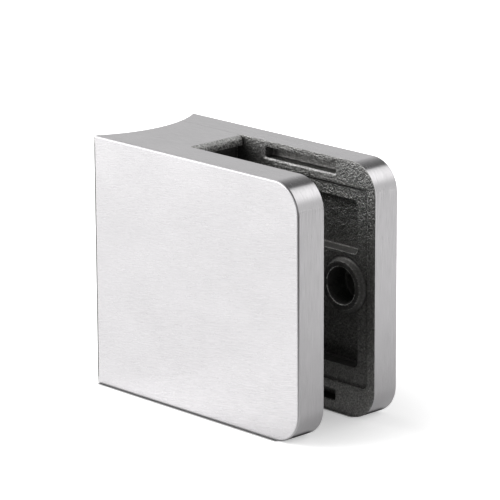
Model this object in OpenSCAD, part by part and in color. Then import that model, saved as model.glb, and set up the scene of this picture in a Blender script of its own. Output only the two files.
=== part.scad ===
// Square clamp that holds a glass panel in its slot and is screwed to a round post.
// X runs from the post to the free edge, Y goes through the panel and Z is up.
// The origin lies under the middle of the clamp. All sizes are in millimetres.

/* [Jaws] */
// Height of both jaws
height = 45; // [42:1:60]
// Length from the tips of the saddle to the free edge
length = 50; // [47:1:64]
// Thickness of the body's jaw
body_t = 6.0; // [5.5:0.1:8]
// Thickness of the cover
cover_t = 5.5; // [5.2:0.1:8]
// Radius of the corners at the free edge
corner_r = 5.5; // [3:0.5:8]
// Radius of the rounding along the outer edges
edge_r = 0.5; // [0.2:0.1:1]

/* [Panel slot] */
// Width of the slot between the jaws
slot_w = 12.2; // [11.8:0.1:16]
// Depth of the slot from the free edge to its end wall
slot_depth = 33.1; // [32:0.1:34]
// How far the lips at both ends of the end wall stand out
lip_out = 1.5; // [1:0.1:2.5]
// Height of each lip
lip_h = 1.7; // [1:0.1:3]
// Radius of the rounding along each lip
lip_r = 0.9; // [0.2:0.1:0.9]

/* [Saddle] */
// Radius of the post that the saddle fits
saddle_r = 21.2; // [19:0.1:30]

/* [Seat for the rubber] */
// How far the middle of the seat lies above the middle of the jaws
seat_lift = 0.5; // [0:0.1:1]
// Height of the seat
seat_h = 35; // [33:0.5:37]
// Depth of the seat in the jaw's inner face
seat_depth = 0.45; // [0.2:0.05:0.8]
// Distance from the free edge to the seat
seat_inset = 1.95; // [1.5:0.05:2.4]
// Radius of the seat's outer corners
seat_r = 1.0; // [0.5:0.1:2]

/* [Pockets] */
// Height of each pocket
pocket_h = 9.4; // [7:0.1:10]
// Depth of the pockets below the seat
pocket_depth = 2.55; // [1:0.05:3]
// Distance from the free edge to the pockets
pocket_inset = 4.5; // [3:0.1:8]
// Length of the pockets
pocket_length = 23.5; // [16:0.5:24]
// Radius of the pockets' corners
pocket_r = 1.0; // [0.5:0.1:2]
// Distance from the seat's middle up to the middle of the upper pocket
upper_pocket_z = 10.5; // [10:0.1:11.5]
// Distance from the seat's middle down to the middle of the lower pocket
lower_pocket_z = 9.6; // [9.6:0.1:11.5]

/* [Lug slots] */
// Distance between the middles of the two slots for the rubber's lugs
lug_spacing = 40; // [39.5:0.1:41]
// Height of each slot
lug_h = 1.95; // [1:0.05:2.2]
// Depth of each slot
lug_depth = 2.1; // [1:0.1:3]
// Distance from the free edge to the slots
lug_inset = 9.3; // [8:0.1:12]
// Length of each slot
lug_length = 17; // [10:0.5:18]

/* [Pin collar] */
// Distance from the free edge to the collar's axis
collar_inset = 7.4; // [7:0.1:10]
// Radius of the collar at its face
collar_r = 4.3; // [3.9:0.1:4.4]
// How much wider the collar is at its foot
collar_flare = 0.35; // [0.1:0.05:0.4]
// Height of the collar above the seat
collar_h = 1.1; // [0.5:0.1:1.6]
// Radius of the blind bore for a safety pin
pin_bore_r = 3.3; // [2:0.1:3.4]
// Metal left behind each blind bore
pin_floor = 1.5; // [1:0.1:2]

/* [Post screw] */
// Radius of the hole for the screw into the post
post_hole_r = 3.3; // [2.6:0.1:3.5]
// Radius of the pocket for that screw's head
post_head_r = 5.5; // [4.5:0.1:5.6]
// Depth of that pocket
post_head_depth = 6.5; // [4:0.1:8]

/* [Cover screws] */
// Distance from the tips of the saddle to the cover screws
screw_inset = 9.8; // [9.5:0.1:11]
// Distance between the two cover screws
screw_spacing = 24; // [20:0.5:28]
// Radius of the thread
screw_r = 3; // [2.5:0.1:3]
// Length of each screw
screw_length = 16; // [12:0.5:17]
// Radius of the countersunk head
head_r = 6; // [5:0.1:6]
// Height of the straight rim of the head
head_rim = 0.3; // [0.1:0.1:0.6]
// How far the head lies below the cover's face
head_sunk = 0.1; // [0:0.05:0.4]
// Width of the hexagon socket across its flats
socket_w = 4; // [3:0.1:4]
// Depth of the socket
socket_depth = 2.4; // [1.5:0.1:2.6]
// Play of the thread in the body
thread_play = 0.05; // [0.02:0.01:0.1]
// Play of the thread in the cover's hole
hole_play = 0.3; // [0.1:0.05:0.5]
// Play of the head in its countersink
head_play = 0.04; // [0.02:0.01:0.1]
// Depth of the tapped hole past the screw's tip
tip_room = 1.4; // [0.5:0.1:2]

/* [Hidden] */
$fn = 96;
over = 1;                                    // how far a cut runs past the metal
casting = "gainsboro";
fastener = "silver";

thickness = body_t + slot_w + cover_t;
free_x = length / 2;                         // the free edge
tip_x = -length / 2;                         // the tips of the saddle
front_y = -thickness / 2;                    // the outer face of the body's jaw
back_y = thickness / 2;                      // the outer face of the cover
slot_front = front_y + body_t;               // the inner face of the body's jaw
slot_back = back_y - cover_t;                // the inner face of the cover, against the web
end_wall_x = free_x - slot_depth;            // the end wall of the slot

// The saddle is part of a cylinder whose surface crosses both outer faces at tip_x
post_x = tip_x - sqrt(pow(saddle_r, 2) - pow(thickness / 2, 2));

seat_z = height / 2 + seat_lift;             // the middle of everything inside a jaw
collar_face = seat_depth - collar_h;         // measured from the inner face into the metal
lip_play = 0.15;                             // between the lips and the cover

screw_x = tip_x + screw_inset;
screw_tip = 0.6;                             // height of the bevel at the screw's tip
tap_depth = screw_length + head_sunk + tip_room - cover_t;
tap_slope = tan(31);                         // the drill leaves a blunt cone

// Makes a drawing in X and Z solid, from y = from to y = to
module upright(from, to) {
    translate([0, to, 0]) rotate([90, 0, 0]) linear_extrude(to - from) children();
}

// A block of the drawing plane from one corner to the other
module area(low, high) {
    translate(low) square(high - low);
}

// A block of the drawing plane with all four corners rounded
module rounded_area(low, high, r) {
    area([low[0] + r, low[1]], [high[0] - r, high[1]]);
    area([low[0], low[1] + r], [high[0], high[1] - r]);
    for (x = [low[0] + r, high[0] - r], z = [low[1] + r, high[1] - r])
        translate([x, z]) circle(r);
}

// The outline of a jaw: square at the post, rounded at the free edge
module jaw_outline() {
    area([tip_x, 0], [free_x - corner_r, height]);
    area([tip_x, corner_r], [free_x, height - corner_r]);
    for (z = [corner_r, height - corner_r])
        translate([free_x - corner_r, z]) circle(corner_r);
}

// What the rounding takes off a square edge that runs through the origin
module edge_waste() {
    difference() {
        translate([-over, -over]) square(edge_r + over);
        translate([edge_r, edge_r]) circle(edge_r, $fn = 48);
    }
}

// Half of the waste round a jaw: one long edge and the corner that it leads to
module half_waste() {
    translate([tip_x - over, 0, 0]) rotate([90, 0, 90])
        linear_extrude(length + over - corner_r) edge_waste();
    translate([free_x - corner_r, 0, corner_r]) rotate([-90, 0, 0])
        rotate_extrude(angle = 90) translate([corner_r, 0]) mirror([1, 0]) edge_waste();
}

// A jaw with its outer face at y = 0 and its inner face at y = t
module jaw(t) {
    difference() {
        upright(0, t) jaw_outline();
        half_waste();
        translate([0, 0, height]) mirror([0, 0, 1]) half_waste();
        translate([free_x, 0, corner_r]) rotate([0, 0, 90])
            linear_extrude(height - 2 * corner_r) edge_waste();
    }
}

// Everything that the casting leaves open in an inner face, which lies at y = 0
module seat_cuts() {
    seat_low = [end_wall_x, seat_z - seat_h / 2];
    seat_high = [free_x - seat_inset, seat_z + seat_h / 2];
    upright(-over, seat_depth) {
        rounded_area(seat_low, seat_high, seat_r);
        area(seat_low, [0, seat_high[1]]);
    }
    upright(-over, seat_depth + pocket_depth)
        for (z = [seat_z + upper_pocket_z, seat_z - lower_pocket_z])
            rounded_area([free_x - pocket_inset - pocket_length, z - pocket_h / 2],
                         [free_x - pocket_inset, z + pocket_h / 2], pocket_r);
    upright(-over, lug_depth)
        for (z = [seat_z - lug_spacing / 2, seat_z + lug_spacing / 2])
            area([free_x - lug_inset - lug_length, z - lug_h / 2],
                 [free_x - lug_inset, z + lug_h / 2]);
}

// The collar round the pin's bore, standing on the seat of an inner face at y = 0
module pin_collar() {
    translate([free_x - collar_inset, seat_depth, seat_z]) rotate([90, 0, 0])
        cylinder(h = collar_h, r1 = collar_r + collar_flare, r2 = collar_r);
}

// The blind bore for the pin, through the collar into a jaw of thickness t
module pin_bore(t) {
    translate([free_x - collar_inset, collar_face - over, seat_z]) rotate([-90, 0, 0])
        cylinder(h = t - pin_floor - collar_face + over, r = pin_bore_r);
}

// Fits a jaw of thickness t, whose inner face is at y = 0, with its seat and collar
module fit_out(t) {
    difference() {
        union() {
            difference() {
                children();
                seat_cuts();
            }
            pin_collar();
        }
        pin_bore(t);
    }
}

// The post, where it bites into the clamp
module post() {
    translate([post_x, 0, -over]) cylinder(h = height + 2 * over, r = saddle_r, $fn = 180);
}

// Puts its children at each cover screw, with z running from the cover's face into the metal
module at_screw(side) {
    translate([screw_x, back_y, height / 2 + side * screw_spacing / 2])
        rotate([90, 0, 0]) children();
}

// A lip at the lower end of the end wall, rounded where the slot's end meets the outside
module lip_outline() {
    lip_x = end_wall_x + lip_out;
    area([end_wall_x - over, 0], [lip_x - lip_r, lip_h]);
    area([end_wall_x - over, lip_r], [lip_x, lip_h]);
    translate([lip_x - lip_r, lip_r]) circle(lip_r);
}

// The web between the jaws, with the lips at both ends of the slot's end wall
module web() {
    translate([tip_x, slot_front - over, 0])
        cube([end_wall_x - tip_x, slot_w + over, height]);
    upright(slot_front - over, slot_back - lip_play) {
        lip_outline();
        translate([0, height]) mirror([0, 1]) lip_outline();
    }
}

// The hole for the screw into the post, with the pocket for its head in the end wall
module post_screw_hole() {
    translate([tip_x, 0, height / 2]) rotate([0, 90, 0]) {
        cylinder(h = end_wall_x - tip_x + over, r = post_hole_r);
        translate([0, 0, end_wall_x - tip_x - post_head_depth])
            cylinder(h = post_head_depth + over, r = post_head_r);
    }
}

// A tapped hole in the web, seen from a cover screw
module tapped_hole() {
    bore_r = screw_r + thread_play;
    translate([0, 0, cover_t]) {
        translate([0, 0, -over]) cylinder(h = tap_depth + over, r = bore_r);
        translate([0, 0, tap_depth]) cylinder(h = bore_r * tap_slope, r1 = bore_r, r2 = 0);
    }
}

// The countersunk hole for a cover screw
module countersunk_hole() {
    wide = head_r + head_play;
    narrow = screw_r + hole_play;
    cone_top = head_sunk + head_rim;
    rotate_extrude() polygon([
        [0, -over], [wide, -over], [wide, cone_top],
        [narrow, cone_top + wide - narrow], [narrow, cover_t + over], [0, cover_t + over]
    ]);
}

module body() {
    color(casting) difference() {
        translate([0, slot_front, 0]) mirror([0, 1, 0]) fit_out(body_t)
            mirror([0, 1, 0]) translate([0, -slot_front, 0]) {
                translate([0, front_y, 0]) jaw(body_t);
                web();
            }
        post();
        post_screw_hole();
        for (side = [-1, 1]) at_screw(side) tapped_hole();
    }
}

module cover() {
    color(casting) difference() {
        translate([0, slot_back, 0]) fit_out(cover_t)
            translate([0, cover_t, 0]) mirror([0, 1, 0]) jaw(cover_t);
        post();
        for (side = [-1, 1]) at_screw(side) countersunk_hole();
    }
}

module cover_screw(side) {
    color(fastener) at_screw(side) translate([0, 0, head_sunk]) difference() {
        rotate_extrude() polygon([
            [0, 0], [head_r, 0], [head_r, head_rim], [screw_r, head_rim + head_r - screw_r],
            [screw_r, screw_length - screw_tip], [screw_r - screw_tip, screw_length],
            [0, screw_length]
        ]);
        translate([0, 0, -over])
            cylinder(h = socket_depth + over, r = socket_w / 2 / cos(30), $fn = 6);
    }
}

module cover_screw_upper() { cover_screw(1); }

module cover_screw_lower() { cover_screw(-1); }

body();
cover();
cover_screw_upper();
cover_screw_lower();
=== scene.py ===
import math

import bmesh
import bpy
import numpy as np
from mathutils import Matrix, Vector


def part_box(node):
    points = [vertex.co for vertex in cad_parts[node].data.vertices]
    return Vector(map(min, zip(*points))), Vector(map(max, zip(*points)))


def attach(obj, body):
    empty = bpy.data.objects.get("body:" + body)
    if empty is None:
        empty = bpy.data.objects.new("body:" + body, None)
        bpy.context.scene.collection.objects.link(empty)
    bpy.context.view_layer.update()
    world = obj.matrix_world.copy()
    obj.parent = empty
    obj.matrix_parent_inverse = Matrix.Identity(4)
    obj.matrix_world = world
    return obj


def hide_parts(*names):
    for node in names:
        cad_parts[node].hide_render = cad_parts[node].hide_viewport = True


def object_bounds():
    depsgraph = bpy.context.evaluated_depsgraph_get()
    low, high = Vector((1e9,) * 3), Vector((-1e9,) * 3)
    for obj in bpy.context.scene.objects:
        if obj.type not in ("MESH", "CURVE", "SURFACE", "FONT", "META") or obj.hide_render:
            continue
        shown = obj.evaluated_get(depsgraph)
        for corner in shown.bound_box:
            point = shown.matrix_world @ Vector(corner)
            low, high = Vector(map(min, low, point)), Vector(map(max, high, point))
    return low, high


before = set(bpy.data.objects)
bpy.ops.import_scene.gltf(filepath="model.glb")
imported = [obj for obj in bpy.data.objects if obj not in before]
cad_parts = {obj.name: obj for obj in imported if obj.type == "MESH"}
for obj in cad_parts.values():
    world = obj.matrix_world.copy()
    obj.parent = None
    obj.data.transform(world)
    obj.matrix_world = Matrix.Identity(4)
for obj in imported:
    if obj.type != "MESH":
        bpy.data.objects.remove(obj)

mm = 0.001
scene = bpy.context.scene
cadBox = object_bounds()
bodyLow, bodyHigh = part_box("body")
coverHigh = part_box("cover")[1]
print("frame loaded:", sorted(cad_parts))

# Planes and radii that the finish follows, in metres
clamp = {
    "freeX": bodyHigh.x,            # the free edge
    "slotFront": bodyLow.y + 6 * mm,
    "slotBack": bodyHigh.y,         # where the cover meets the web
    "backY": coverHigh.y,
    "top": bodyHigh.z,
    "endWallX": bodyHigh.x - 33.1 * mm,
    "cornerR": 5.5 * mm,
    "collarX": bodyHigh.x - 7.4 * mm, "collarZ": 23 * mm,
    "lugX": 7.2 * mm, "lugHalf": 8.5 * mm, "lugZ": 42.0 * mm,   # lower edge of the upper lug slot
    "edgeR": 0.3 * mm,
    "saddleR": 21.2 * mm,
    "postHeadR": 5.5 * mm,          # pocket for the post screw's head
    "holePlay": 0.5 * mm,           # how far round a drilled hole the metal stays smooth
    "wallPlay": 0.1 * mm,           # kept between a mask and the end wall or the joint
}
clamp["middleZ"] = clamp["top"] / 2
halfWide = clamp["backY"]
clamp["postX"] = cadBox[0].x - math.sqrt(clamp["saddleR"] ** 2 - halfWide ** 2)


def feed(tree, node, entries):
    # wires sockets in and sets plain values
    for key, value in entries.items():
        if isinstance(value, bpy.types.NodeSocket):
            tree.links.new(value, node.inputs[key])
        else:
            node.inputs[key].default_value = value


def addNode(tree, kind, entries=None, **settings):
    node = tree.nodes.new(kind)
    for name, value in settings.items():
        setattr(node, name, value)
    feed(tree, node, entries or {})
    return node


def maths(tree, operation, *values, clampIt=False):
    return addNode(tree, "ShaderNodeMath", dict(enumerate(values)),
                   operation=operation, use_clamp=clampIt).outputs[0]


def ramped(tree, value, low, high, toLow=0.0, toHigh=1.0):
    entries = {"Value": value, "From Min": low, "From Max": high, "To Min": toLow, "To Max": toHigh}
    return addNode(tree, "ShaderNodeMapRange", entries, interpolation_type="SMOOTHSTEP").outputs[0]


def mixNumbers(tree, factor, first, second):
    return addNode(tree, "ShaderNodeMix", {0: factor, 2: first, 3: second},
                   data_type="FLOAT").outputs[0]


def mixColours(tree, factor, *colours):
    first, second = (colour if isinstance(colour, bpy.types.NodeSocket) else (*colour, 1)
                     for colour in colours)
    return addNode(tree, "ShaderNodeMix", {0: factor, 6: first, 7: second},
                   data_type="RGBA").outputs[2]


def split(tree, vector):
    # the X, Y and Z of a vector
    return addNode(tree, "ShaderNodeSeparateXYZ", {0: vector}).outputs


def joined(tree, x=0.0, y=0.0, z=0.0):
    return addNode(tree, "ShaderNodeCombineXYZ", {0: x, 1: y, 2: z}).outputs[0]


def onObject(tree):
    return addNode(tree, "ShaderNodeTexCoord").outputs["Object"]


def masked(tree, name):
    # a value that the mesh carries
    return addNode(tree, "ShaderNodeAttribute", attribute_name=name).outputs["Fac"]


def groupSockets(tree, entries, results):
    for name, kind in entries:
        tree.interface.new_socket(name, in_out="INPUT", socket_type=kind)
    for name, kind in results:
        tree.interface.new_socket(name, in_out="OUTPUT", socket_type=kind)
    return tree.nodes.new("NodeGroupInput"), tree.nodes.new("NodeGroupOutput")


def setInput(modifier, name, value):
    # geometry node inputs are set by their identifier
    for item in modifier.node_group.interface.items_tree:
        if item.item_type == "SOCKET" and item.in_out == "INPUT" and item.name == name:
            modifier[item.identifier] = value
            return
    raise ValueError(name)


def flattened(piece, name):
    # turns an object with modifiers into a plain mesh object
    graph = bpy.context.evaluated_depsgraph_get()
    mesh = bpy.data.meshes.new_from_object(piece.evaluated_get(graph), depsgraph=graph)
    mesh.name = name
    piece.modifiers.clear()
    result = bpy.data.objects.new(name, mesh)
    scene.collection.objects.link(result)
    bpy.data.objects.remove(piece)
    return result


def pointsOf(mesh):
    flat = np.empty(len(mesh.vertices) * 3, np.float32)
    mesh.vertices.foreach_get("co", flat)
    return flat.reshape(-1, 3).astype(float)


def putPoints(mesh, points):
    mesh.vertices.foreach_set("co", points.astype(np.float32).ravel())
    mesh.update()


def normalsOf(mesh):
    flat = np.empty(len(mesh.vertices) * 3, np.float32)
    mesh.vertices.foreach_get("normal", flat)
    return flat.reshape(-1, 3)


def rising(values, low, high):
    # 0 at low, 1 at high, straight in between
    return np.clip((values - low) / (high - low), 0, 1)


cameraSet = {
    "azimuth": 45.88, "elevation": 15.52, "roll": -0.26,     # degrees
    "distance": 575.5 * mm,
    "target": Vector((1.45, 0, 27.24)) * mm,
    "lens": 241.8, "sensor": 36.0, "sees": (0.05, 20),       # nearest and farthest, in metres
}


def makeCamera():
    az, el, roll = (math.radians(cameraSet[k]) for k in ("azimuth", "elevation", "roll"))
    back = Vector((math.cos(el) * math.sin(az), -math.cos(el) * math.cos(az), math.sin(el)))
    right = Vector((math.cos(az), math.sin(az), 0))
    up = back.cross(right)
    tiltedRight = right * math.cos(roll) + up * math.sin(roll)
    tiltedUp = up * math.cos(roll) - right * math.sin(roll)
    data = bpy.data.cameras.new("camera")
    data.lens, data.sensor_width = cameraSet["lens"], cameraSet["sensor"]
    data.clip_start, data.clip_end = cameraSet["sees"]
    camera = bpy.data.objects.new("camera", data)
    scene.collection.objects.link(camera)
    turn = Matrix((tiltedRight, tiltedUp, back)).transposed().to_4x4()
    eye = cameraSet["target"] + back * cameraSet["distance"]
    camera.matrix_world = Matrix.Translation(eye) @ turn
    scene.camera = camera


makeCamera()
print("camera ready")


patchStretch = 1.6                  # patches are this much longer along the strokes


def makeBrushing():
    # strokes of a belt: long along one direction, fine across it
    tree = bpy.data.node_groups.new("brushing", "ShaderNodeTree")
    start, end = groupSockets(tree, [
        ("Along", "NodeSocketFloat"), ("Across", "NodeSocketFloat"), ("Depth", "NodeSocketFloat"),
        ("Stroke length", "NodeSocketFloat"), ("Stroke width", "NodeSocketFloat"),
        ("Patch size", "NodeSocketFloat"),
    ], [("Strokes", "NodeSocketFloat"), ("Patches", "NodeSocketFloat")])
    stroke, patch = [], []
    for name, size, stretch in (("Along", "Stroke length", patchStretch),
                                ("Across", "Stroke width", 1.0), ("Depth", "Stroke width", 1.0)):
        stroke.append(maths(tree, "DIVIDE", start.outputs[name], start.outputs[size]))
        part = maths(tree, "DIVIDE", start.outputs[name], start.outputs["Patch size"])
        patch.append(maths(tree, "DIVIDE", part, stretch))
    strokes = addNode(tree, "ShaderNodeTexNoise", {"Vector": joined(tree, *stroke), "Scale": 1.0,
                                                   "Detail": 4.0, "Roughness": 0.65})
    patches = addNode(tree, "ShaderNodeTexNoise", {"Vector": joined(tree, *patch), "Scale": 1.0,
                                                   "Detail": 3.0, "Roughness": 0.55})
    feed(tree, end, {"Strokes": strokes.outputs["Fac"], "Patches": patches.outputs["Fac"]})
    return tree


grain = {
    "lumpShare": 0.6,                # height of the lumps against the fine grain
    "pitSpan": (0.62, 0.38), "speckSpan": (0.90, 0.99),      # noise values between which they grow
}


def makeCastGrain():
    # the skin that an investment casting keeps: fine pits and lumps, and bright specks that are
    # painted glints
    tree = bpy.data.node_groups.new("castGrain", "ShaderNodeTree")
    start, end = groupSockets(tree, [
        ("Vector", "NodeSocketVector"), ("Grain size", "NodeSocketFloat"),
        ("Lump size", "NodeSocketFloat"), ("Speck size", "NodeSocketFloat"),
    ], [("Height", "NodeSocketFloat"), ("Pits", "NodeSocketFloat"), ("Glints", "NodeSocketFloat")])
    fine = addNode(tree, "ShaderNodeTexNoise", {"Detail": 3.0, "Roughness": 0.6})
    lumps = addNode(tree, "ShaderNodeTexNoise", {"Detail": 2.0, "Roughness": 0.5})
    cells = addNode(tree, "ShaderNodeTexVoronoi", {"Randomness": 1.0}, feature="F1")
    for texture, size in ((fine, "Grain size"), (lumps, "Lump size"), (cells, "Speck size")):
        feed(tree, texture, {"Vector": start.outputs["Vector"],
                             "Scale": maths(tree, "DIVIDE", 1.0, start.outputs[size])})
    feed(tree, end, {
        "Height": maths(tree, "MULTIPLY_ADD", lumps.outputs["Fac"], grain["lumpShare"],
                        fine.outputs["Fac"]),
        "Pits": ramped(tree, fine.outputs["Fac"], *grain["pitSpan"]),
        "Glints": ramped(tree, split(tree, cells.outputs["Color"])[0], *grain["speckSpan"]),
    })
    return tree


brushing = makeBrushing()
castGrain = makeCastGrain()


def newMaterial(name, base, metallic, roughness):
    material = bpy.data.materials.new(name)
    material.use_nodes = True
    material.diffuse_color = (*base, 1)
    tree = material.node_tree
    shader = tree.nodes["Principled BSDF"]
    feed(tree, shader, {"Base Color": (*base, 1), "Metallic": metallic, "Roughness": roughness})
    return material, tree, shader


satin = {
    "colour": (0.835, 0.820, 0.835), "strokeColour": (0.69, 0.678, 0.69),
    "roughness": 0.24, "roughnessSpread": 0.08, "anisotropy": 0.75,
    "strokeLength": 4.2 * mm, "strokeWidth": 0.15 * mm, "patchSize": 7.0 * mm,
    "tilt": 7.5,                     # degrees between the belt and the X axis on the two faces
    "sideStrokes": 0.5,              # strength of the strokes on the narrow sides
    "strokeSpan": (0.35, 0.65), "patchSpan": (0.35, 0.70),   # noise values from dark to bright
    "clouding": 0.4, "patchRoughness": 0.008,
    "bump": 0.013 * mm,
    "seam": 0.07 * mm, "seamColour": (0.42, 0.415, 0.41),
    "edgeShadeColour": (0.60, 0.59, 0.60), "topEdgeShadeColour": (0.26, 0.255, 0.26), "edgeRoughness": 0.45,
    # how far the surface faces Y, or up, where one finish changes to the next
    "faceSpan": (0.55, 0.85), "edgeStart": (0.15, 0.40), "edgeEnd": (0.90, 0.99),
    "upSpan": (0.2, 0.6),
}


def makeSatinSteel():
    # ground with a belt: along X on the two faces, round the outline on the narrow sides
    material, tree, shader = newMaterial("satinSteel", satin["colour"], 1.0, satin["roughness"])
    place = onObject(tree)
    x, y, z = split(tree, place)
    facing = split(tree, addNode(tree, "ShaderNodeNewGeometry").outputs["Normal"])
    towardsY = maths(tree, "ABSOLUTE", facing[1])
    flat = ramped(tree, towardsY, *satin["faceSpan"])
    # the broken edges between the faces and the narrow sides are duller, and painted darker as
    # painted shade that dims their highlight
    edge = maths(tree, "MULTIPLY", ramped(tree, towardsY, *satin["edgeStart"]),
                 ramped(tree, towardsY, *satin["edgeEnd"], 1.0, 0.0))
    tilted = addNode(tree, "ShaderNodeVectorRotate",
                     {"Vector": place, "Angle": math.radians(satin["tilt"])},
                     rotation_type="Y_AXIS")
    onFace = split(tree, tilted.outputs[0])
    ways = ((onFace[0], onFace[2], onFace[1]), (maths(tree, "SUBTRACT", x, z), y, 0.0))
    faceBelt, sideBelt = (addNode(tree, "ShaderNodeGroup", {
        "Along": along, "Across": across, "Depth": depth,
        "Stroke length": satin["strokeLength"], "Stroke width": satin["strokeWidth"],
        "Patch size": satin["patchSize"],
    }, node_tree=brushing).outputs for along, across, depth in ways)
    # the strokes are fainter on the narrow sides, round the noise's middle value
    faint = maths(tree, "MULTIPLY_ADD", sideBelt["Strokes"], satin["sideStrokes"],
                  0.5 - 0.5 * satin["sideStrokes"])
    strokes = mixNumbers(tree, flat, faint, faceBelt["Strokes"])
    patches = mixNumbers(tree, flat, sideBelt["Patches"], faceBelt["Patches"])
    shade = ramped(tree, strokes, *satin["strokeSpan"])
    colour = mixColours(tree, shade, satin["strokeColour"], satin["colour"])
    cloud = ramped(tree, patches, *satin["patchSpan"], 0.0, satin["clouding"])
    clouded = mixColours(tree, cloud, colour, satin["colour"])
    # the hairline joint between the web and the cover
    fromJoint = maths(tree, "ABSOLUTE", maths(tree, "SUBTRACT", y, clamp["slotBack"]))
    onWeb = maths(tree, "LESS_THAN", x, clamp["endWallX"])
    joint = maths(tree, "MULTIPLY", onWeb, ramped(tree, fromJoint, 0.0, satin["seam"], 1.0, 0.0))
    seamed = mixColours(tree, joint, clouded, satin["seamColour"])
    upward = ramped(tree, facing[2], *satin["upSpan"])
    # painted shade on the rounded edges, darkest where they face up
    edgeShade = mixColours(tree, upward, satin["edgeShadeColour"], satin["topEdgeShadeColour"])
    spread = maths(tree, "MULTIPLY_ADD", shade, -satin["roughnessSpread"],
                   satin["roughness"] + satin["roughnessSpread"] / 2)
    rough = maths(tree, "MULTIPLY_ADD", patches, satin["patchRoughness"], spread)
    bump = addNode(tree, "ShaderNodeBump",
                   {"Strength": 1.0, "Distance": satin["bump"], "Height": strokes})
    feed(tree, shader, {
        "Base Color": mixColours(tree, edge, seamed, edgeShade),
        "Roughness": mixNumbers(tree, edge, rough, satin["edgeRoughness"]),
        "Normal": bump.outputs["Normal"],
        # light spreads across the strokes: along Z on the two faces, along Y on the narrow sides
        "Anisotropic": satin["anisotropy"],
        "Tangent": joined(tree, 0.0, maths(tree, "SUBTRACT", 1.0, flat), flat),
    })
    return material


cast = {
    "colour": (0.45, 0.445, 0.436), "pitColour": (0.26, 0.257, 0.251),
    "shadeAndGrimeColour": (0.10, 0.098, 0.094), "wornAndHighlightColour": (0.88, 0.875, 0.86),
    "roughness": 0.36, "shadeAndGrimeRoughness": 0.62, "wornRoughness": 0.28, "wornMetallic": 0.3,
    "grainSize": 0.32 * mm, "lumpSize": 1.1 * mm, "speckSize": 0.30 * mm,
    "pitShelter": 0.6,               # how much of the wear and painted highlight a pit escapes
    "glintShare": 0.3,
    "bump": 0.25 * mm, "shadeAndGrimeFill": 0.7,                    # grime and painted shade flatten this share of the grain
}


def makeCastSteel():
    # dark cast skin: grime and painted shade in the hollows, painted shade deep in the slot, edges
    # worn and painted bright as highlights, specks painted as glints
    material, tree, shader = newMaterial("castSteel", cast["colour"], 1.0, cast["roughness"])
    skinGrain = addNode(tree, "ShaderNodeGroup", {
        "Vector": onObject(tree), "Grain size": cast["grainSize"],
        "Lump size": cast["lumpSize"], "Speck size": cast["speckSize"],
    }, node_tree=castGrain).outputs
    wornAndHighlight, shadeAndGrime = masked(tree, "wornAndHighlight"), masked(tree, "shadeAndGrime")
    sheltered = maths(tree, "MULTIPLY", skinGrain["Pits"], cast["pitShelter"])
    rubbedAndHighlight = maths(tree, "SUBTRACT", wornAndHighlight, sheltered, clampIt=True)
    # painted glints on the grain's specks, none in the painted shade
    glints = maths(tree, "MULTIPLY", skinGrain["Glints"], cast["glintShare"])
    glinting = maths(tree, "MULTIPLY", glints, maths(tree, "SUBTRACT", 1.0, shadeAndGrime))
    bright = maths(tree, "MAXIMUM", rubbedAndHighlight, glinting)
    pitted = mixColours(tree, skinGrain["Pits"], cast["colour"], cast["pitColour"])
    # grime and painted shade darken the hollows; painted shade darkens the deep slot
    shadedAndGrimy = mixColours(tree, shadeAndGrime, pitted, cast["shadeAndGrimeColour"])
    dull = mixNumbers(tree, shadeAndGrime, cast["roughness"], cast["shadeAndGrimeRoughness"])
    bump = addNode(tree, "ShaderNodeBump", {
        "Distance": cast["bump"], "Height": skinGrain["Height"],
        "Strength": maths(tree, "MULTIPLY_ADD", shadeAndGrime, -cast["shadeAndGrimeFill"], 1.0),
    })
    feed(tree, shader, {
        "Base Color": mixColours(tree, bright, shadedAndGrimy, cast["wornAndHighlightColour"]),
        "Roughness": mixNumbers(tree, bright, dull, cast["wornRoughness"]),
        "Metallic": maths(tree, "MULTIPLY_ADD", rubbedAndHighlight, cast["wornMetallic"] - 1.0, 1.0),
        "Normal": bump.outputs["Normal"],
    })
    return material


turned = {
    "colour": (0.66, 0.65, 0.64), "ringColour": (0.50, 0.495, 0.49),
    "roughness": 0.30, "roughnessSpread": 0.1, "ringSpan": (0.35, 0.65),
    "ringWidth": 0.09 * mm, "bump": 0.004 * mm,
}


def makeTurnedSteel():
    # fine rings round each screw's own axis
    material, tree, shader = newMaterial("turnedSteel", turned["colour"], 1.0, turned["roughness"])
    across, along = (maths(tree, "DIVIDE", masked(tree, name), turned["ringWidth"])
                     for name in ("fromAxis", "alongAxis"))
    rings = addNode(tree, "ShaderNodeTexNoise", {"Scale": 1.0, "Detail": 3.0},
                    noise_dimensions="2D")
    feed(tree, rings, {"Vector": joined(tree, across, along)})
    shade = ramped(tree, rings.outputs["Fac"], *turned["ringSpan"])
    bump = addNode(tree, "ShaderNodeBump", {"Strength": 1.0, "Distance": turned["bump"],
                                            "Height": rings.outputs["Fac"]})
    feed(tree, shader, {
        "Base Color": mixColours(tree, shade, turned["ringColour"], turned["colour"]),
        "Roughness": maths(tree, "MULTIPLY_ADD", shade, -turned["roughnessSpread"],
                           turned["roughness"] + turned["roughnessSpread"] / 2),
        "Normal": bump.outputs["Normal"],
    })
    return material


satinSteel = makeSatinSteel()
castSteel = makeCastSteel()
turnedSteel = makeTurnedSteel()
print("materials ready")


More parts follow.
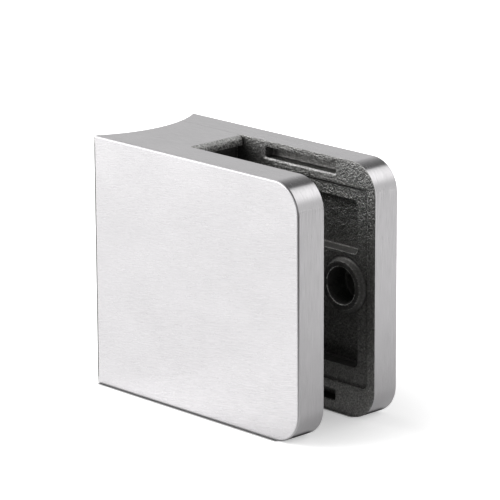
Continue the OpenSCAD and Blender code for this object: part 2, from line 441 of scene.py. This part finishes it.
casting = {
    "voxel": 0.17 * mm, "quickVoxel": 0.3 * mm,
    "weld": 0.001 * mm,              # vertices nearer than this are one, or lie on a face
    "snap": 0.13 * mm,               # vertices nearer than this to a ground face are put on it
    "settle": 0.03 * mm,             # what thinning may have moved a ground vertex by
    "grainSize": 0.45 * mm, "grainDepth": 0.050 * mm,
    "lumpSize": 1.6 * mm, "lumpDepth": 0.035 * mm,
    "rimSize": 0.8 * mm, "rimDepth": 0.13 * mm, "rimHeight": 1.0 * mm,
    "bodySeed": 2.0, "coverSeed": 11.0, "seedStep": 3.7,     # seedStep is between the three noises
    # the cast skin grows over this depth below the ground skin, from just past the end wall on
    "castFrom": 0.015 * mm, "castFull": 0.085 * mm, "castPlay": 0.3 * mm,
    "castLeast": 0.45,               # least share of cast skin that gets the cast finish
    # smoothing that finds the worn edges, also painted bright as highlights, and the hollows that get
    # grime and painted shade
    "edgeRounds": 3, "edgeFrom": 0.008 * mm, "edgeFull": 0.028 * mm,
    "hollowRounds": 30, "hollowFull": 0.10 * mm, "hollowGrimeAndShade": 0.6, "placeShade": 0.9,
    # wear and painted highlight on edges: none close to the ground skin or low down, most on the
    # lips, and a painted highlight on one slot's edge
    "wornFrom": 0.25 * mm, "wornFull": 0.75 * mm,
    "unwornFrom": 27 * mm, "unwornTo": 21 * mm,
    "flareR": 3.7 * mm, "flareUnworn": 0.75,
    "lipHeight": 2.4 * mm, "lipX": -5.5 * mm, "lipWorn": 1.0,
    "slotEdge": 0.45 * mm, "slotEdgeFull": 0.225 * mm,
    # painted shade: towards the end wall, in the pockets, low down, on ledges, round the collar
    "deepFrom": 3 * mm, "deepTo": -6 * mm, "deepBelow": 3 * mm,
    "pocketFrom": 0.8 * mm, "pocketFull": 1.8 * mm, "pocketShade": 0.28,
    "lowFrom": 14 * mm, "lowTo": 10 * mm, "sunkFrom": 0.05 * mm, "sunkFull": 0.15 * mm,
    "ledgeFrom": 0.25, "ledgeFull": 0.75, "ledgeTop": 40 * mm,       # how far a ledge faces up
    "lowShade": 0.32, "ledgeShade": 0.75, "lowLedgeShade": 0.15,
    "collarReach": 5.1 * mm, "collarShade": 0.85,
    "shadeFrom": 38 * mm, "shadeTo": 28 * mm, "slotMiddleShade": 0.22,
    "mostTriangles": 190000,
    "facesAlong": 0.5,               # a ground triangle faces at least this much along its form
    "sharp": 40,                     # degrees; edges sharper than this aren't shaded smooth
}


tiny = 1e-12                        # keeps a division away from zero


def rounded(first, second, radius):
    # signed distance and direction of two faces that meet in a rounding
    a, b = first + radius, second + radius
    both = (a > 0) & (b > 0)
    reach = np.hypot(np.maximum(a, 0), np.maximum(b, 0))
    distance = reach + np.minimum(np.maximum(a, b), 0) - radius
    safe = np.maximum(reach, tiny)
    weightA = np.where(both, a / safe, (a >= b).astype(float))
    weightB = np.where(both, b / safe, (a < b).astype(float))
    return distance, weightA, weightB


def skin(points, side):
    # distance outside a jaw's ground skin, and the way out of it; side is -1 in front, 1 behind
    x, y, z = points.T
    fromX = x - clamp["freeX"]
    fromZ = np.abs(z - clamp["middleZ"]) - clamp["middleZ"]
    outline, alongX, alongZ = rounded(fromX, fromZ, clamp["cornerR"])
    distance, onOutline, onFace = rounded(outline, side * y - clamp["backY"], clamp["edgeR"])
    way = np.stack([onOutline * alongX, onFace * side,
                    onOutline * alongZ * np.sign(z - clamp["middleZ"])], axis=1)
    return distance, way


def fromSaddle(points):
    offset = points[:, :2] - np.array([clamp["postX"], 0])
    reach = np.linalg.norm(offset, axis=1)
    return reach - clamp["saddleR"], offset / reach[:, None]


def snapToGround(points, side, near):
    # puts the skin, the saddle and the face between web and cover exactly where they belong
    distance, way = skin(points, side)
    hit = np.abs(distance) < near
    points[hit] -= way[hit] * distance[hit, None]
    inside, out = fromSaddle(points)
    hit = np.abs(inside) < near
    points[hit, :2] -= out[hit] * inside[hit, None]
    flat = (np.abs(points[:, 1] - clamp["slotBack"]) < near) & (points[:, 0] < clamp["endWallX"])
    points[flat, 1] = clamp["slotBack"]


def groundDirections(points, side):
    # for the skin, the saddle and the joint face: which vertices lie on it, and its normals there
    close = casting["weld"]
    distance, way = skin(points, side)
    inside, out = fromSaddle(points)
    saddleWay = np.zeros_like(points)
    saddleWay[:, :2] = -out
    jointWay = np.zeros_like(points)
    jointWay[:, 1] = -side
    onJoint = (np.abs(points[:, 1] - clamp["slotBack"]) < close) & (points[:, 0] < clamp["endWallX"])
    return [(np.abs(distance) < close, way), (np.abs(inside) < close, saddleWay),
            (onJoint, jointWay)]


def dressSurface(mesh, side):
    # gives each face its finish, and the ground faces the normals of their true form
    points = pointsOf(mesh)
    snapToGround(points, side, casting["settle"])
    putPoints(mesh, points)
    corners = np.empty(len(mesh.loops), np.int32)
    mesh.loops.foreach_get("vertex_index", corners)
    corners = corners.reshape(-1, 3)                    # thinning leaves triangles only
    facing = np.empty(len(mesh.polygons) * 3, np.float32)
    mesh.polygons.foreach_get("normal", facing)
    facing = facing.reshape(-1, 3)
    kind = np.zeros(len(corners), np.int32)             # 0 is cast, 1 to 3 are ground
    zones = groundDirections(points, side)
    for number, (on, way) in enumerate(zones, 1):
        along = (way[corners].mean(axis=1) * facing).sum(axis=1)
        agree = along > casting["facesAlong"]
        kind[on[corners].all(axis=1) & agree & (kind == 0)] = number
    centres = points[corners].mean(axis=1)
    smooth = (kind > 0) | drilled(centres)
    names = [material.name for material in mesh.materials]
    ground, rough = names.index(satinSteel.name), names.index(castSteel.name)
    mesh.polygons.foreach_set("material_index", np.where(smooth, ground, rough).astype(np.int32))

    whole = bmesh.new()
    whole.from_mesh(mesh)
    limit = math.radians(casting["sharp"])
    for edge in whole.edges:
        linked = edge.link_faces
        if len(linked) == 2 and kind[linked[0].index] != kind[linked[1].index]:
            edge.smooth = False
        elif len(linked) == 2 and kind[linked[0].index] == 0:
            edge.smooth = edge.calc_face_angle(0) < limit
    whole.to_mesh(mesh)
    whole.free()
    mesh.polygons.foreach_set("use_smooth", np.ones(len(mesh.polygons), bool))
    mesh.update()
    normals = np.empty(len(mesh.loops) * 3, np.float32)
    mesh.corner_normals.foreach_get("vector", normals)
    normals = normals.reshape(-1, 3, 3)
    for number, (on, way) in enumerate(zones, 1):
        chosen = kind == number
        normals[chosen] = way[corners[chosen]]
    mesh.normals_split_custom_set(normals.reshape(-1, 3).tolist())


def drilled(points):
    # which points lie round the cover screws' holes or the post screw's hole
    x, y, z = points.T
    low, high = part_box("cover_screw_upper")
    lowest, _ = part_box("cover_screw_lower")
    axisX = (low.x + high.x) / 2
    headR = (high.x - low.x) / 2
    upper, lower = (low.z + high.z) / 2, lowest.z + headR
    margin = clamp["holePlay"]
    mask = np.zeros(len(x), bool)
    for axisZ in (upper, lower):
        mask |= np.hypot(x - axisX, z - axisZ) < headR + margin
    postHole = np.hypot(y, z - clamp["middleZ"]) < clamp["postHeadR"] + margin
    return mask | (postHole & (x < clamp["endWallX"] - clamp["wallPlay"]))


def castMasks(points, side):
    # where the cast skin shows, and how near it is to the rim that the belt has left
    depth = -skin(points, side)[0]
    cut = np.minimum(depth, fromSaddle(points)[0])
    if side < 0:
        onWeb = points[:, 0] < clamp["endWallX"] + casting["castPlay"]
        cut = np.where(onWeb, np.minimum(cut, clamp["slotBack"] - points[:, 1]), cut)
    else:
        onWeb = points[:, 0] < clamp["endWallX"]
        cut = np.where(onWeb, 0, cut)
    mask = rising(cut, casting["castFrom"], casting["castFull"])
    mask[drilled(points)] = 0
    # the belt leaves a ragged rim at the top and the bottom only
    fromEnd = np.minimum(points[:, 2], clamp["top"] - points[:, 2])
    rim = mask * rising(fromEnd, casting["rimHeight"], 0)
    return mask, rim


def relief(mesh, points, rounds):
    # how far each vertex lies below the smoothed surface: hollows above 0, edges below
    pairs = np.empty(len(mesh.edges) * 2, np.int32)
    mesh.edges.foreach_get("vertices", pairs)
    first, second = pairs.reshape(-1, 2).T
    count = np.bincount(first, minlength=len(points)) + np.bincount(second, minlength=len(points))
    smooth = points.copy()
    for _ in range(rounds):
        for axis in range(3):
            column = smooth[:, axis].copy()
            total = np.bincount(first, column[second], len(points))
            total += np.bincount(second, column[first], len(points))
            smooth[:, axis] = (column + total / count) / 2
    return ((smooth - points) * normalsOf(mesh)).sum(axis=1)


def onLip(points):
    # the lips of the end wall are rubbed where the glass goes in, and painted bright as a highlight
    fromEnd = clamp["middleZ"] - np.abs(points[:, 2] - clamp["middleZ"])
    inFront = points[:, 1] < clamp["slotBack"] - clamp["wallPlay"]
    onWeb = (points[:, 0] < casting["lipX"]) & inFront
    return rising(fromEnd, casting["lipHeight"], 0) * onWeb * casting["lipWorn"]


def fromCollar(points):
    return np.hypot(points[:, 0] - clamp["collarX"], points[:, 2] - clamp["collarZ"])


def keptDull(points):
    # edges kept without the bright worn colour: low down in the slot, and the flare of the collar
    low = rising(points[:, 2], casting["unwornFrom"], casting["unwornTo"])
    reach = fromCollar(points)
    flare = casting["flareUnworn"] * (reach > casting["flareR"])
    return np.where(reach < casting["collarReach"], flare, low)


def onSlotEdge(points):
    # painted highlight along the lower edge of the upper lug slot, where it is rubbed
    fromEdge = np.hypot(points[:, 1] - clamp["slotBack"], points[:, 2] - clamp["lugZ"])
    across = np.abs(points[:, 0] - clamp["lugX"]) < clamp["lugHalf"]
    return rising(fromEdge, casting["slotEdge"], casting["slotEdgeFull"]) * across


def paintedShadeIn(points, normals):
    # painted shade: grows to 1 towards the end wall of the glass slot, away from its open ends
    x, y, z = points.T
    fromEnd = clamp["middleZ"] - np.abs(z - clamp["middleZ"])
    deep = rising(x, casting["deepFrom"], casting["deepTo"])
    deep = deep * rising(fromEnd, 0, casting["deepBelow"])
    # painted shade in the pockets of the two inner faces
    below = np.maximum(clamp["slotFront"] - y, y - clamp["slotBack"])
    pocket = rising(below, casting["pocketFrom"], casting["pocketFull"]) * casting["pocketShade"]
    # painted shade near the foot of the slot and on the ledges that face up
    low = rising(z, casting["lowFrom"], casting["lowTo"])
    ledge = rising(normals[:, 2], casting["ledgeFrom"], casting["ledgeFull"])
    ledge = ledge * (z < casting["ledgeTop"])
    shelf = rising(below, casting["sunkFrom"], casting["sunkFull"]) * (
        casting["lowShade"] * low + casting["ledgeShade"] * ledge
        + casting["lowLedgeShade"] * ledge * low)
    # painted shade round the collar
    collar = (fromCollar(points) < casting["collarReach"]) * casting["collarShade"]
    # less light gets to the middle of the slot than to its top
    shade = rising(z, casting["shadeFrom"], casting["shadeTo"]) * (1 - low) * casting["slotMiddleShade"]
    return np.max([deep, pocket, shelf, collar, shade], axis=0)


def makeCastSurface():
    # pushes the cast skin in and out along its normals
    tree = bpy.data.node_groups.new("castSurface", "GeometryNodeTree")
    start, end = groupSockets(tree, [
        ("Geometry", "NodeSocketGeometry"),
        ("Grain size", "NodeSocketFloat"), ("Grain depth", "NodeSocketFloat"),
        ("Lump size", "NodeSocketFloat"), ("Lump depth", "NodeSocketFloat"),
        ("Rim size", "NodeSocketFloat"), ("Rim depth", "NodeSocketFloat"),
        ("Seed", "NodeSocketFloat"),
        ("Ground finish", "NodeSocketMaterial"), ("Cast finish", "NodeSocketMaterial"),
    ], [("Geometry", "NodeSocketGeometry")])
    mask, rim = (addNode(tree, "GeometryNodeInputNamedAttribute", {"Name": name},
                         data_type="FLOAT").outputs["Attribute"] for name in ("castMask", "rimMask"))
    position = addNode(tree, "GeometryNodeInputPosition").outputs[0]
    parts = []
    for name, detail, weight in (("Grain", 2.0, mask), ("Lump", 1.0, mask), ("Rim", 3.0, rim)):
        noise = addNode(tree, "ShaderNodeTexNoise", {"Detail": detail, "Roughness": 0.55},
                        noise_dimensions="4D")
        feed(tree, noise, {
            "Vector": position,
            "Scale": maths(tree, "DIVIDE", 1.0, start.outputs[name + " size"]),
            "W": maths(tree, "ADD", start.outputs["Seed"], len(parts) * casting["seedStep"]),
        })
        centred = maths(tree, "SUBTRACT", noise.outputs[0], 0.5)
        doubled = maths(tree, "MULTIPLY", centred, 2.0)
        deep = maths(tree, "MULTIPLY", doubled, start.outputs[name + " depth"])
        parts.append(maths(tree, "MULTIPLY", deep, weight))
    total = maths(tree, "ADD", maths(tree, "ADD", parts[0], parts[1]), parts[2])
    normal = addNode(tree, "GeometryNodeInputNormal").outputs[0]
    offset = addNode(tree, "ShaderNodeVectorMath", {0: normal, "Scale": total}, operation="SCALE")
    moved = addNode(tree, "GeometryNodeSetPosition",
                    {"Geometry": start.outputs["Geometry"], "Offset": offset.outputs[0]})
    real = addNode(tree, "GeometryNodeRealizeInstances", {0: moved.outputs[0]})
    ground = addNode(tree, "GeometryNodeSetMaterial",
                     {"Geometry": real.outputs[0], "Material": start.outputs["Ground finish"]})
    isCast = maths(tree, "GREATER_THAN", mask, casting["castLeast"])
    inside = addNode(tree, "GeometryNodeSetMaterial",
                     {"Geometry": ground.outputs[0], "Selection": isCast,
                      "Material": start.outputs["Cast finish"]})
    feed(tree, end, {"Geometry": inside.outputs[0]})
    return tree


castSurface = makeCastSurface()


def makeCasting(node, name, side, seed):
    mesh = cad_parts[node].data.copy()
    whole = bmesh.new()
    whole.from_mesh(mesh)
    bmesh.ops.remove_doubles(whole, verts=whole.verts, dist=casting["weld"])
    whole.to_mesh(mesh)
    whole.free()
    mesh.materials.clear()
    piece = bpy.data.objects.new(name + "Blank", mesh)
    scene.collection.objects.link(piece)
    remesh = piece.modifiers.new("remesh", "REMESH")
    remesh.mode = "VOXEL"
    remesh.voxel_size = casting["voxel"]
    piece = flattened(piece, name + "Fine")
    mesh = piece.data
    points = pointsOf(mesh)
    mask, rim = castMasks(points, side)
    depth = -skin(points, side)[0]
    edges = rising(-relief(mesh, points, casting["edgeRounds"]),
                   casting["edgeFrom"], casting["edgeFull"]) ** 2
    edges = edges * rising(depth, casting["wornFrom"], casting["wornFull"]) * (1 - keptDull(points))
    wornAndHighlight = np.max([edges, onLip(points), onSlotEdge(points)], axis=0)
    # grime and painted shade in the hollows, then painted shade deep in the slot
    shadeAndGrime = rising(relief(mesh, points, casting["hollowRounds"]), 0, casting["hollowFull"])
    paintedShade = paintedShadeIn(points, normalsOf(mesh)) * casting["placeShade"]
    shadeAndGrime = np.maximum(shadeAndGrime * casting["hollowGrimeAndShade"], paintedShade)
    for key, values in (("castMask", mask), ("rimMask", rim), ("wornAndHighlight", wornAndHighlight), ("shadeAndGrime", shadeAndGrime)):
        kept = mesh.attributes.new(key, "FLOAT", "POINT")
        kept.data.foreach_set("value", values.astype(np.float32))
    snapToGround(points, side, casting["snap"])
    putPoints(mesh, points)
    rough = piece.modifiers.new("castSurface", "NODES")
    rough.node_group = castSurface
    for label, key in (("Grain size", "grainSize"), ("Grain depth", "grainDepth"),
                       ("Lump size", "lumpSize"), ("Lump depth", "lumpDepth"),
                       ("Rim size", "rimSize"), ("Rim depth", "rimDepth")):
        setInput(rough, label, casting[key])
    setInput(rough, "Seed", seed)
    setInput(rough, "Ground finish", satinSteel)
    setInput(rough, "Cast finish", castSteel)
    piece = flattened(piece, name + "Rough")
    mesh = piece.data
    points = pointsOf(mesh)
    snapToGround(points, side, casting["snap"])
    putPoints(mesh, points)
    triangles = 2 * len(mesh.polygons)
    thin = piece.modifiers.new("thin", "DECIMATE")
    thin.use_collapse_triangulate = True
    thin.ratio = min(1.0, casting["mostTriangles"] / triangles)
    piece = flattened(piece, name)
    dressSurface(piece.data, side)
    print(name, triangles, "triangles thinned to", len(piece.data.polygons))
    return piece


bodyCasting = makeCasting("body", "bodyCasting", -1, casting["bodySeed"])
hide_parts("body")
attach(bodyCasting, "body")

coverCasting = makeCasting("cover", "coverCasting", 1, casting["coverSeed"])
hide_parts("cover")
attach(coverCasting, "cover")
print("castings ready")


screw = {
    "pitch": 1.0 * mm, "threadDepth": 0.55 * mm, "ringsPerPitch": 8, "segments": 48,
    "headRim": 0.3 * mm, "radius": 3.0 * mm, "edge": 0.12 * mm,
    "socketWide": 4.0 * mm, "socketDeep": 2.4 * mm,
    "drillDeep": 0.5 * mm, "drillShare": 0.86, "drillEdge": 0.05 * mm,   # cone at the socket's foot
    "faceRing": 1.5 * mm,            # from the head's rim to the inner ring of its face
    "underBevel": 0.1 * mm, "tipBevel": 0.6 * mm,
    "flankSpan": (0.1, 0.9),         # share of half a pitch over which the groove's flank falls
    "threadStops": 0.3 * mm, "weld": 0.002 * mm,
    "sharp": 35,                     # degrees
}


def screwProfile(headR, length):
    # (radius, depth below the head's face, 1 in the hexagon socket), from the socket to the tip
    flat, deep, edge = screw["socketWide"] / 2, screw["socketDeep"], screw["edge"]
    radius, rim = screw["radius"], screw["headRim"]
    bevel = screw["underBevel"]
    rings = [(0.0, deep + screw["drillDeep"], 0),
             (flat * screw["drillShare"], deep + screw["drillEdge"], 0),
             (flat, deep, 1), (flat, deep / 2, 1), (flat, edge, 1), (flat + edge, 0.0, 1),
             (headR - screw["faceRing"], 0.0, 0), (headR - edge, 0.0, 0), (headR, edge, 0),
             (headR, rim, 0), (headR - bevel, rim + bevel, 0)]
    under = rim + headR - radius
    rings.append((radius, under, 0))
    step = screw["pitch"] / screw["ringsPerPitch"]
    for turn in range(1, int((length - screw["tipBevel"] - under) / step)):
        rings.append((radius, under + turn * step, 0))
    rings += [(radius, length - screw["tipBevel"], 0), (radius - screw["tipBevel"], length, 0),
              (0.0, length, 0)]
    return rings


def makeTurnedScrew():
    # turns the profile round the screw's axis, cuts the thread and squeezes the socket to six sides
    tree = bpy.data.node_groups.new("turnedScrew", "GeometryNodeTree")
    start, end = groupSockets(tree, [
        ("Geometry", "NodeSocketGeometry"), ("Segments", "NodeSocketInt"),
        ("Axis", "NodeSocketVector"), ("Pitch", "NodeSocketFloat"),
        ("Thread depth", "NodeSocketFloat"), ("Thread start", "NodeSocketFloat"),
        ("Thread end", "NodeSocketFloat"), ("Finish", "NodeSocketMaterial"),
    ], [("Geometry", "NodeSocketGeometry")])
    given = start.outputs
    count = addNode(tree, "GeometryNodeAttributeDomainSize", {"Geometry": given["Geometry"]},
                    component="MESH").outputs["Point Count"]
    grid = addNode(tree, "GeometryNodeMeshGrid", {
        "Size X": 1.0, "Size Y": 1.0, "Vertices X": count,
        "Vertices Y": maths(tree, "ADD", given["Segments"], 1),
    })
    # the grid runs from -0.5 to 0.5: one way along the profile, the other way round the axis
    position = addNode(tree, "GeometryNodeInputPosition").outputs[0]
    onGrid = split(tree, position)
    rings = maths(tree, "SUBTRACT", count, 1)
    ring = maths(tree, "ROUND", maths(tree, "MULTIPLY", maths(tree, "ADD", onGrid[0], 0.5), rings))
    angle = maths(tree, "MULTIPLY", maths(tree, "ADD", onGrid[1], 0.5), 2 * math.pi)
    profile = addNode(tree, "GeometryNodeSampleIndex", data_type="FLOAT_VECTOR", domain="POINT")
    feed(tree, profile, {"Geometry": given["Geometry"], "Value": position, "Index": ring})
    radius, six, depth = split(tree, profile.outputs[0])

    # six sides: the flats' distance over the cosine from the middle of each flat
    sixth = math.pi / 3
    inSide = maths(tree, "SUBTRACT", maths(tree, "FLOORED_MODULO", angle, sixth), sixth / 2)
    wider = maths(tree, "DIVIDE", 1.0, maths(tree, "COSINE", inSide))
    stretch = maths(tree, "MULTIPLY_ADD", maths(tree, "SUBTRACT", wider, 1.0), six, 1.0)

    # the thread: a groove that falls and rises once for every pitch
    turns = maths(tree, "DIVIDE", angle, 2 * math.pi)
    pitches = maths(tree, "DIVIDE", depth, given["Pitch"])
    phase = maths(tree, "FRACT", maths(tree, "ADD", pitches, turns))
    fall = maths(tree, "ABSOLUTE", maths(tree, "MULTIPLY_ADD", phase, 2.0, -1.0))
    groove = maths(tree, "SUBTRACT", 1.0, ramped(tree, fall, *screw["flankSpan"]))
    begins = ramped(tree, depth, given["Thread start"],
                    maths(tree, "ADD", given["Thread start"], given["Pitch"]))
    stops = ramped(tree, depth, given["Thread end"],
                   maths(tree, "ADD", given["Thread end"], screw["threadStops"]), 1.0, 0.0)
    cut = maths(tree, "MULTIPLY", maths(tree, "MULTIPLY", groove, begins), stops)
    cutDeep = maths(tree, "MULTIPLY", cut, given["Thread depth"])
    wide = maths(tree, "SUBTRACT", maths(tree, "MULTIPLY", radius, stretch), cutDeep)

    aroundAxis = joined(tree, maths(tree, "MULTIPLY", wide, maths(tree, "COSINE", angle)),
                        maths(tree, "MULTIPLY", depth, -1.0),
                        maths(tree, "MULTIPLY", wide, maths(tree, "SINE", angle)))
    shifted = addNode(tree, "ShaderNodeVectorMath", {0: aroundAxis, 1: given["Axis"]},
                      operation="ADD")
    made = grid.outputs["Mesh"]
    for name, value in (("fromAxis", wide), ("alongAxis", depth)):
        stored = addNode(tree, "GeometryNodeStoreNamedAttribute", {"Name": name},
                         data_type="FLOAT", domain="POINT")
        feed(tree, stored, {"Geometry": made, "Value": value})
        made = stored.outputs[0]
    shaped = addNode(tree, "GeometryNodeSetPosition",
                     {"Geometry": made, "Position": shifted.outputs[0]})
    closed = addNode(tree, "GeometryNodeMergeByDistance",
                     {"Geometry": shaped.outputs[0], "Distance": screw["weld"]})
    real = addNode(tree, "GeometryNodeRealizeInstances", {0: closed.outputs[0]})
    finish = addNode(tree, "GeometryNodeSetMaterial",
                     {"Geometry": real.outputs[0], "Material": given["Finish"]})
    feed(tree, end, {"Geometry": finish.outputs[0]})
    return tree


turnedScrew = makeTurnedScrew()


def makeScrew(node, name):
    low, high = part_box(node)
    headR = (high.x - low.x) / 2
    length = high.y - low.y
    axis = Vector(((low.x + high.x) / 2, high.y, (low.z + high.z) / 2))
    rings = screwProfile(headR, length)
    mesh = bpy.data.meshes.new(name + "Profile")
    mesh.from_pydata([(radius, six, depth) for radius, depth, six in rings],
                     [(i, i + 1) for i in range(len(rings) - 1)], [])
    piece = bpy.data.objects.new(name + "Profile", mesh)
    scene.collection.objects.link(piece)
    lathe = piece.modifiers.new("turnedScrew", "NODES")
    lathe.node_group = turnedScrew
    setInput(lathe, "Segments", screw["segments"])
    setInput(lathe, "Axis", axis)
    setInput(lathe, "Pitch", screw["pitch"])
    setInput(lathe, "Thread depth", screw["threadDepth"])
    setInput(lathe, "Thread start", screw["headRim"] + headR - screw["radius"])
    setInput(lathe, "Thread end", length - screw["tipBevel"])
    setInput(lathe, "Finish", turnedSteel)
    piece = flattened(piece, name)
    whole = bmesh.new()
    whole.from_mesh(piece.data)
    bmesh.ops.recalc_face_normals(whole, faces=whole.faces)
    for face in whole.faces:
        face.smooth = True
    limit = math.radians(screw["sharp"])
    for edge in whole.edges:
        edge.smooth = len(edge.link_faces) == 2 and edge.calc_face_angle(0) < limit
    whole.to_mesh(piece.data)
    whole.free()
    print(name, len(piece.data.polygons), "faces")
    return piece


for which in ("upper", "lower"):
    coverScrew = makeScrew("cover_screw_" + which, which + "CoverScrew")
    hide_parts("cover_screw_" + which)
    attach(coverScrew, "screw_" + which)
print("screws ready")


studio = {
    "floorSeen": (0.86, 0.86, 0.86), "floorSide": 3.0, "floorRoughness": 0.9,
    # the floor's own light, dimmer round the clamp as painted shade, as the camera and as metal see
    # it
    "glowSeen": 0.40, "glowSeenSpan": (12 * mm, 61 * mm),
    "glowMirrored": 0.30, "glowMirroredSpan": (100 * mm, 600 * mm), "glowFar": 1.0,
    # the painted contact shadow under the clamp
    "contactShadow": 1.2 * mm, "mirroredContact": 1.6 * mm, "contactShadowGrey": 0.12,
    "openSpan": (0.5, 0.95), "openSamples": 12,
    "footFade": 1.2 * mm, "mirroredFrom": 2.8 * mm, "mirroredTo": 3.8 * mm,
    # painted light and shade on the floor as metal mirrors it: bright in front, dim behind as a
    # painted shadow, dark towards the camera
    "mirrorFrontFar": 0.64, "mirrorFront": 0.82, "frontSpan": (-160 * mm, -10 * mm),
    "mirrorNear": 0.54, "nearSpan": (-15 * mm, 12 * mm),
    "mirrorFar": 0.65, "farSpan": (30 * mm, 150 * mm),
    "mirrorCamera": 0.08, "cameraSpan": (45 * mm, 80 * mm),
    "diagonal": 0.707,               # turns X and Y by 45 degrees
    # greys of the room as metal mirrors it, and the directions between which they change
    "frontLeft": 0.725, "frontRight": 0.32, "frontAcross": (-0.25, 0.15),
    "backLeft": 0.57, "backLeftHigh": 0.02, "backLeftRise": (0.30, 0.80),
    "backRight": 0.62, "backRightPanel": 1.20, "backRightRise": (0.25, 0.60),
    "backAcross": (-0.04, 0.08), "frontToBack": (0.0, 0.45),
    "top": 0.14, "topRise": (0.74, 0.86),
}


def makeFloor():
    mesh = bpy.data.meshes.new("floor")
    side = studio["floorSide"]
    corners = [(-side, -side, 0), (side, -side, 0), (side, side, 0), (-side, side, 0)]
    mesh.from_pydata(corners, [], [(0, 1, 2, 3)])
    floor = bpy.data.objects.new("floor", mesh)
    scene.collection.objects.link(floor)
    material, tree, shader = newMaterial("floorPaper", studio["floorSeen"], 0.0,
                                         studio["floorRoughness"])
    x, y, _ = split(tree, onObject(tree))
    backward = maths(tree, "MULTIPLY", maths(tree, "ADD", x, y), studio["diagonal"])
    sideward = maths(tree, "MULTIPLY", maths(tree, "SUBTRACT", x, y), studio["diagonal"])
    grey = ramped(tree, backward, *studio["frontSpan"], studio["mirrorFrontFar"],
                  studio["mirrorFront"])
    for along, span, key in ((backward, "nearSpan", "mirrorNear"), (backward, "farSpan", "mirrorFar"),
                             (sideward, "cameraSpan", "mirrorCamera")):
        grey = mixNumbers(tree, ramped(tree, along, *studio[span]), grey, studio[key])
    greyed = joined(tree, grey, grey, grey)
    path = addNode(tree, "ShaderNodeLightPath").outputs
    mirrored = maths(tree, "MAXIMUM", path["Is Glossy Ray"], path["Is Transmission Ray"])
    # painted contact shadow: dark where the clamp stands or nearly touches
    reach = mixNumbers(tree, mirrored, studio["contactShadow"], studio["mirroredContact"])
    openness = addNode(tree, "ShaderNodeAmbientOcclusion", {"Distance": reach},
                       samples=studio["openSamples"])
    closeBy = ramped(tree, openness.outputs["AO"], *studio["openSpan"], 1.0, 0.0)
    # but not far under the rounded corners
    pastFoot = maths(tree, "SUBTRACT", x, clamp["freeX"] - clamp["cornerR"])
    onFoot = ramped(tree, pastFoot, mixNumbers(tree, mirrored, 0.0, studio["mirroredFrom"]),
                    mixNumbers(tree, mirrored, studio["footFade"], studio["mirroredTo"]), 1.0, 0.0)
    contactShadow = maths(tree, "MULTIPLY", closeBy, onFoot)
    lit = mixColours(tree, mirrored, studio["floorSeen"], greyed)
    away = addNode(tree, "ShaderNodeVectorMath", {0: onObject(tree)},
                   operation="LENGTH").outputs["Value"]
    glow = mixNumbers(
        tree, mirrored,
        ramped(tree, away, *studio["glowSeenSpan"], studio["glowSeen"], studio["glowFar"]),
        ramped(tree, away, *studio["glowMirroredSpan"], studio["glowMirrored"], studio["glowFar"]))
    seen = maths(tree, "MAXIMUM", path["Is Camera Ray"], mirrored)
    shown = maths(tree, "MULTIPLY", seen, maths(tree, "SUBTRACT", 1.0, contactShadow))
    feed(tree, shader, {
        "Specular IOR Level": 0.0,
        "Base Color": mixColours(tree, contactShadow, lit, (studio["contactShadowGrey"],) * 3),
        "Emission Color": mixColours(tree, mirrored, (1, 1, 1), greyed),
        "Emission Strength": maths(tree, "MULTIPLY", shown, glow),
    })
    mesh.materials.append(material)


def makeWorld():
    world = bpy.data.worlds.new("studio")
    scene.world = world
    world.use_nodes = True
    tree = world.node_tree
    tree.nodes.clear()
    # behind: dark above on the left, a soft panel on the right; in front: bright on the left only
    x, y, z = split(tree, addNode(tree, "ShaderNodeTexCoord").outputs["Generated"])
    left = ramped(tree, z, *studio["backLeftRise"], studio["backLeft"], studio["backLeftHigh"])
    right = ramped(tree, z, *studio["backRightRise"], studio["backRight"], studio["backRightPanel"])
    back = mixNumbers(tree, ramped(tree, x, *studio["backAcross"]), left, right)
    front = ramped(tree, x, *studio["frontAcross"], studio["frontLeft"], studio["frontRight"])
    low = mixNumbers(tree, ramped(tree, y, *studio["frontToBack"]), front, back)
    light = mixNumbers(tree, ramped(tree, z, *studio["topRise"]), low, studio["top"])
    seen = addNode(tree, "ShaderNodeLightPath").outputs["Is Camera Ray"]
    background = addNode(tree, "ShaderNodeBackground", {
        "Color": (1, 1, 1, 1), "Strength": mixNumbers(tree, seen, light, 1.0),
    })
    addNode(tree, "ShaderNodeOutputWorld", {"Surface": background.outputs[0]})


lamps = {
    "frontSoftbox": {"place": (-0.65, -0.62, 0.30), "size": (0.8, 0.56), "power": 2.65},
    "topSoftbox": {"place": (-0.60, -0.35, 0.75), "size": (0.9, 0.9), "power": 6.8},
}


def makeLamp(name, place, size, power):
    data = bpy.data.lights.new(name, "AREA")
    data.shape = "RECTANGLE"
    data.size, data.size_y = size
    data.energy = power
    lamp = bpy.data.objects.new(name, data)
    scene.collection.objects.link(lamp)
    lamp.location = place
    away = Vector(place) - Vector((0, 0, clamp["middleZ"]))
    lamp.rotation_euler = away.to_track_quat("Z", "Y").to_euler()


makeFloor()
makeWorld()
for name, lamp in lamps.items():
    makeLamp(name, lamp["place"], lamp["size"], lamp["power"])
scene.view_settings.view_transform = "Standard"
print("studio ready")
